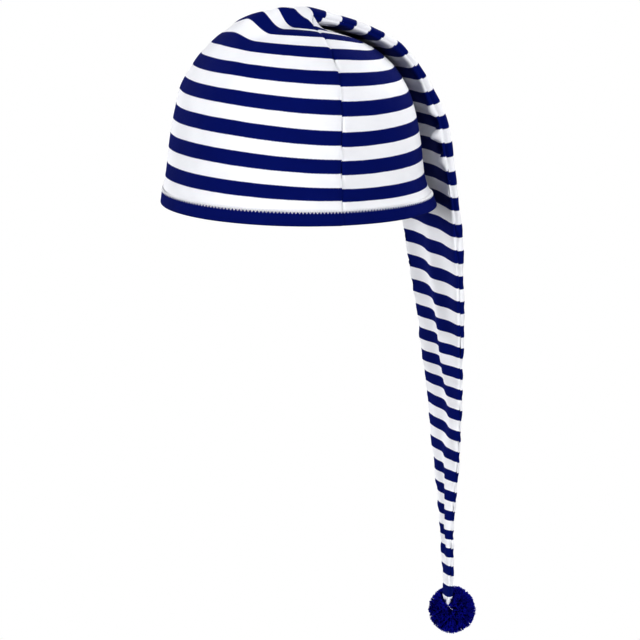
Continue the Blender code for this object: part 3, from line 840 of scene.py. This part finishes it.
def randomBetween(tree, seed, low, high, kind="FLOAT"):
    first, result = (0, 0) if kind == "FLOAT_VECTOR" else (2, 1)
    inputs = {first: low, first + 1: high, "Seed": seed}
    return addNode(tree, "FunctionNodeRandomValue", inputs, data_type=kind).outputs[result]


def pompomTree():
    tree, given, out = newGroup(
        "yarnTufts",
        "GeometryNodeTree",
        [
            ("Ball", "NodeSocketGeometry", None),
            ("Tuft Spacing", "NodeSocketFloat", 0.0016),
            ("Tuft Density", "NodeSocketFloat", 900000.0),
            ("Strands per Tuft", "NodeSocketInt", 7),
            ("Tuft Radius", "NodeSocketFloat", 0.0006),
            ("Strand Length", "NodeSocketFloat", 0.006),
            ("Strand Radius", "NodeSocketFloat", 0.0003),
            ("Lean", "NodeSocketFloat", 0.2),
            ("Seed", "NodeSocketInt", 5),
            ("Yarn", "NodeSocketMaterial", None),
        ],
        [("Geometry", "NodeSocketGeometry")],
    )
    # one strand, bent a little and blunt at the cut end
    line = addNode(tree, "GeometryNodeCurvePrimitiveLine", {"End": (0, 0, 1)}).outputs[0]
    strand = addNode(tree, "GeometryNodeResampleCurve", {"Curve": line, "Count": 5}).outputs[0]
    where = addNode(tree, "GeometryNodeInputPosition").outputs[0]
    along = addNode(tree, "ShaderNodeSeparateXYZ", {0: where}).outputs[2]
    bend = maths(tree, "MULTIPLY", maths(tree, "POWER", along, 2.0), 0.16)
    sized = maths(tree, "MULTIPLY", along, given["Strand Length"])
    sideways = maths(tree, "MULTIPLY", bend, given["Strand Length"])
    place = addNode(tree, "ShaderNodeCombineXYZ", {0: sideways, 2: sized}).outputs[0]
    strand = addNode(tree, "GeometryNodeSetPosition", {"Geometry": strand, "Position": place}).outputs[0]
    strand = tubeAlong(tree, strand, 4, given["Strand Radius"])
    # a tuft is a ring of strands that splay apart
    circle = {"Vertices": given["Strands per Tuft"], "Radius": given["Tuft Radius"]}
    ring = addNode(tree, "GeometryNodeMeshCircle", circle).outputs[0]
    seed = given["Seed"]
    roll = randomBetween(tree, seed, (-0.16, -0.16, 0.0), (0.16, 0.16, math.tau), "FLOAT_VECTOR")
    stretch = randomBetween(tree, seed, 0.9, 1.06)
    inputs = {"Points": ring, "Instance": strand, "Rotation": roll, "Scale": stretch}
    tuft = addNode(tree, "GeometryNodeInstanceOnPoints", inputs).outputs[0]
    tuft = addNode(tree, "GeometryNodeRealizeInstances", {"Geometry": tuft}).outputs[0]
    # tufts all over the ball, except where the tail lies in it
    cover = addNode(tree, "GeometryNodeInputNamedAttribute", {"Name": "cover"}, data_type="FLOAT")
    spread = addNode(
        tree,
        "GeometryNodeDistributePointsOnFaces",
        {
            "Mesh": given["Ball"],
            "Distance Min": given["Tuft Spacing"],
            "Density Max": given["Tuft Density"],
            "Density Factor": cover.outputs[0],
            "Seed": seed,
        },
        distribute_method="POISSON",
    ).outputs
    upright = addNode(tree, "FunctionNodeAlignRotationToVector", {"Vector": spread["Normal"]}, axis="Z")
    lean = given["Lean"]
    negative = maths(tree, "MULTIPLY", lean, -1.0)
    low = addNode(tree, "ShaderNodeCombineXYZ", {0: negative, 1: negative, 2: 0.0}).outputs[0]
    high = addNode(tree, "ShaderNodeCombineXYZ", {0: lean, 1: lean, 2: math.tau}).outputs[0]
    tilt = randomBetween(tree, seed, low, high, "FLOAT_VECTOR")
    inputs = {"Rotation": upright.outputs[0], "Rotate By": tilt}
    turned = addNode(tree, "FunctionNodeRotateRotation", inputs, rotation_space="LOCAL").outputs[0]
    size = randomBetween(tree, seed, 0.90, 1.05)
    inputs = {"Points": spread["Points"], "Instance": tuft, "Rotation": turned, "Scale": size}
    tufts = addNode(tree, "GeometryNodeInstanceOnPoints", inputs).outputs[0]
    stored = addNode(
        tree,
        "GeometryNodeStoreNamedAttribute",
        {"Geometry": tufts, "Name": "tuftTone", "Value": randomBetween(tree, seed, 0.0, 1.0)},
        data_type="FLOAT",
        domain="INSTANCE",
    ).outputs[0]
    joined = addNode(tree, "GeometryNodeJoinGeometry")
    tree.links.new(stored, joined.inputs[0])
    tree.links.new(given["Ball"], joined.inputs[0])
    finishTree(tree, joined.outputs[0], given["Yarn"], out)
    return tree


def yarnMaterial():
    material, tree, shader = newMaterial("pompomYarn", 0.95, 0.0)
    fluff = fluffOf(tree, 3500.0, 220.0)
    tone = addNode(tree, "ShaderNodeAttribute", attribute_name="tuftTone").outputs["Fac"]
    mixed = maths(tree, "MULTIPLY", maths(tree, "ADD", tone, fluff["Cloud"]), 0.5)
    tree.links.new(mixColour(tree, mixed, dyes["yarn"], dyes["yarnLight"]), shader.inputs["Base Color"])
    addBump(tree, shader, fluff["Fluff"], 0.7, 0.0002)
    return material


def makePompom():
    ball = bmesh.new()
    bmesh.ops.create_icosphere(ball, subdivisions=5, radius=pompomMake["ballRadius"])
    bmesh.ops.translate(ball, vec=pompomCentre, verts=ball.verts)
    mesh = bpy.data.meshes.new("pompomTufts")
    ball.to_mesh(mesh)
    ball.free()
    cover = mesh.attributes.new("cover", "FLOAT", "POINT")
    tailSide = Vector(pompomMake["tailSide"]).normalized()
    atTip = pompomMake["clearAtTip"]
    tail = []
    for left in np.linspace(*pompomMake["clearCourses"], 14):
        reach = pompomMake["clearOfTail"] * (atTip + (1 - atTip) * min(left, 1.0))
        tail.append((Vector(tailMiddle(capCut["tipCourse"] - left)), reach))
    tuftLength = pompomMake["tufts"]["Strand Length"] * 0.6  # up to where a tuft is thick
    for vertex in mesh.vertices:
        tuftEnd = vertex.co + (vertex.co - pompomCentre).normalized() * tuftLength
        covered = 1.0
        for point, reach in tail:
            way = tuftEnd - point
            ahead = way.dot(tailSide)
            aside = (way - tailSide * ahead).length
            if way.length < reach or (ahead > -0.003 and aside < reach):
                covered = 0.0
        cover.data[vertex.index].value = covered
    values = {**pompomMake["tufts"], "Yarn": yarnMaterial()}
    return growNodes(newObject("pompomTufts", mesh), pompomTree(), values)


tipThreadMake = {"Pitch": 0.0022, "Height": 0.0005, "Thread Radius": 0.00016, "Lift": 0.0001}


def makeTipThread():  # the end of the thread that the pompom is sewn on with
    ends = np.array([Vector(way) * pompomMake["radius"] + pompomCentre for way in pompomMake["threadEnds"]])
    points = np.linspace(ends[0], ends[1], 9)
    outs = unit(points - np.array(pompomCentre))
    ups = unit(np.cross(ends[1] - ends[0], outs))
    return stitchLine("tipThread", points, ups, outs, False, tipThreadMake)


pompomTufts = makePompom()
tipThread = makeTipThread()
print("pompom trimmed,", len(pompomTufts.data.polygons), "faces")

# Seam allowances inside the crown, with the edge overlocked
allowanceMake = {
    "depth": 0.0052,
    "thickness": 0.0015,
    "firstCourse": 1.3,
    "lastCourse": 8.6,
    "sunk": 0.0002,  # how far its root is set into the seam
    "lean": 0.35,  # it is pressed towards the back
    "columns": 7,
}
overlockMake = {"Pitch": 0.0026, "Height": 0.0030, "Thread Radius": 0.00016, "Lift": -0.0004}


def makeAllowance(name, column):
    first, last = allowanceMake["firstCourse"], allowanceMake["lastCourse"]
    rows = [i for i, course in enumerate(courses) if first < course < last]
    frontOuter, frontInner = faces["front"][0], faces["front"][1]
    backOuter, backInner = faces["back"][0], faces["back"][1]
    root = (frontInner[rows, column] + backInner[rows, column]) / 2
    inwards = unit(root - (frontOuter[rows, column] + backOuter[rows, column]) / 2)
    beside = 2 if column == 0 else -3
    across = unit(frontInner[rows, beside] - backInner[rows, beside])
    half = allowanceMake["thickness"] / 2
    outer, inner, uvs = [], [], []
    for depth in np.linspace(-allowanceMake["sunk"], allowanceMake["depth"], allowanceMake["columns"]):
        line = root + inwards * depth - across * depth * allowanceMake["lean"]
        outer.append(line + across * half)
        inner.append(line - across * half)
        uvs.append(np.stack([np.full(len(rows), depth), courses[rows]], axis=-1))
    outer = np.array(outer).transpose(1, 0, 2)
    inner = np.array(inner).transpose(1, 0, 2)
    mesh = gridMesh(name, outer, inner, np.array(uvs).transpose(1, 0, 2), False)
    faceOutwards(mesh)
    strip = newObject(name, mesh, [stripedJersey])
    line = (outer[:, -2] + inner[:, -2]) / 2
    stitches = stitchLine(name + "Overlock", line, inwards, across * 2, False, overlockMake)
    return strip, stitches


nearAllowance, nearOverlock = makeAllowance("nearAllowance", 0)
farAllowance, farOverlock = makeAllowance("farAllowance", -1)
print("seams overlocked")

# Everything rides on the one body, and the part of the model that a piece stands for is hidden
for panel, piece in panels.items():
    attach(piece, "root")
    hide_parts(panel + "_panel")
for piece, node, slot in (
    (rimBand, "hem_band", "band_jersey"),
    (pompomTufts, "pompom", "pompom_yarn"),
    (tipThread, None, "striped_jersey"),
    (rimStitches, None, "striped_jersey"),
    (nearAllowance, None, "striped_jersey"),
    (farAllowance, None, "striped_jersey"),
    (nearOverlock, None, "striped_jersey"),
    (farOverlock, None, "striped_jersey"),
):
    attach(piece, "root")
    if node:
        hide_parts(node)

# Floor, light and camera
studio = {
    "floorDrop": 0.75,
    "floorSize": 60.0,
    "azimuth": 66.0,
    "elevation": 14.9,
    "distance": 1.658,
    "target": (0.0054, 0.01265, -0.084),
    "lens": 133.875,
    "world": 0.12,
    "floorBounce": 0.16,
}
suns = {  # degrees round, degrees up, softness in degrees, strength
    "keyLight": (102, 20, 8, 3.4),
    "sideLight": (3, 5, 10, 2.6),
    "leftLight": (290, 20, 25, 1.9),
    "backLight": (216, 32, 25, 2.4),
}


def direction(azimuth, elevation):
    a, e = math.radians(azimuth), math.radians(elevation)
    return Vector((math.sin(a) * math.cos(e), -math.cos(a) * math.cos(e), math.sin(e)))


def plainMaterial(name, colour):
    material, tree, shader = newMaterial(name, 0.95, 0.0)
    place = addNode(tree, "ShaderNodeTexCoord").outputs["Object"]
    cloud = addNode(tree, "ShaderNodeTexNoise", {"Vector": place, "Scale": 3.0, "Detail": 2.0})
    darker = tuple(channel * 0.985 for channel in colour[:3]) + (1.0,)
    tree.links.new(mixColour(tree, cloud.outputs["Fac"], colour, darker), shader.inputs["Base Color"])
    # it lights the cap as a pale floor does, and is seen as plain white
    seen = addNode(tree, "ShaderNodeLightPath").outputs["Is Camera Ray"]
    shown = addNode(tree, "ShaderNodeEmission", {"Color": (1.0, 1.0, 1.0, 1.0), "Strength": 1.0})
    mixed = addNode(tree, "ShaderNodeMixShader", {0: seen, 1: shader.outputs[0], 2: shown.outputs[0]})
    tree.links.new(mixed.outputs[0], tree.nodes["Material Output"].inputs["Surface"])
    return material


def makeStage():
    mesh = bpy.data.meshes.new("floor")
    half, low = studio["floorSize"] / 2, -studio["floorDrop"]
    corners = [(-half, -half, low), (half, -half, low), (half, half, low), (-half, half, low)]
    mesh.from_pydata(corners, [], [(0, 1, 2, 3)])
    colour = (studio["floorBounce"],) * 3 + (1.0,)
    newObject("floor", mesh, [plainMaterial("paleFloor", colour)])


def addSun(name, azimuth, elevation, spread, strength):
    data = bpy.data.lights.new(name, "SUN")
    data.angle = math.radians(spread)
    data.energy = strength
    light = bpy.data.objects.new(name, data)
    bpy.context.scene.collection.objects.link(light)
    light.rotation_euler = direction(azimuth, elevation).to_track_quat("Z", "Y").to_euler()


def makeCamera():
    data = bpy.data.cameras.new("camera")
    camera = bpy.data.objects.new("camera", data)
    bpy.context.scene.collection.objects.link(camera)
    back = direction(studio["azimuth"], studio["elevation"])
    camera.location = Vector(studio["target"]) + back * studio["distance"]
    camera.rotation_euler = back.to_track_quat("Z", "Y").to_euler()
    data.sensor_width = 36.0
    data.lens = studio["lens"]
    bpy.context.scene.camera = camera


makeStage()
for name, values in suns.items():
    addSun(name, *values)
makeCamera()
world = bpy.data.worlds.new("studioWorld")
world.use_nodes = True
world.node_tree.nodes["Background"].inputs["Color"].default_value = (1, 1, 1, 1)
world.node_tree.nodes["Background"].inputs["Strength"].default_value = studio["world"]
bpy.context.scene.world = world
bpy.context.scene.view_settings.view_transform = "Standard"
bpy.context.scene.view_settings.gamma = 0.8
print("studio lit")
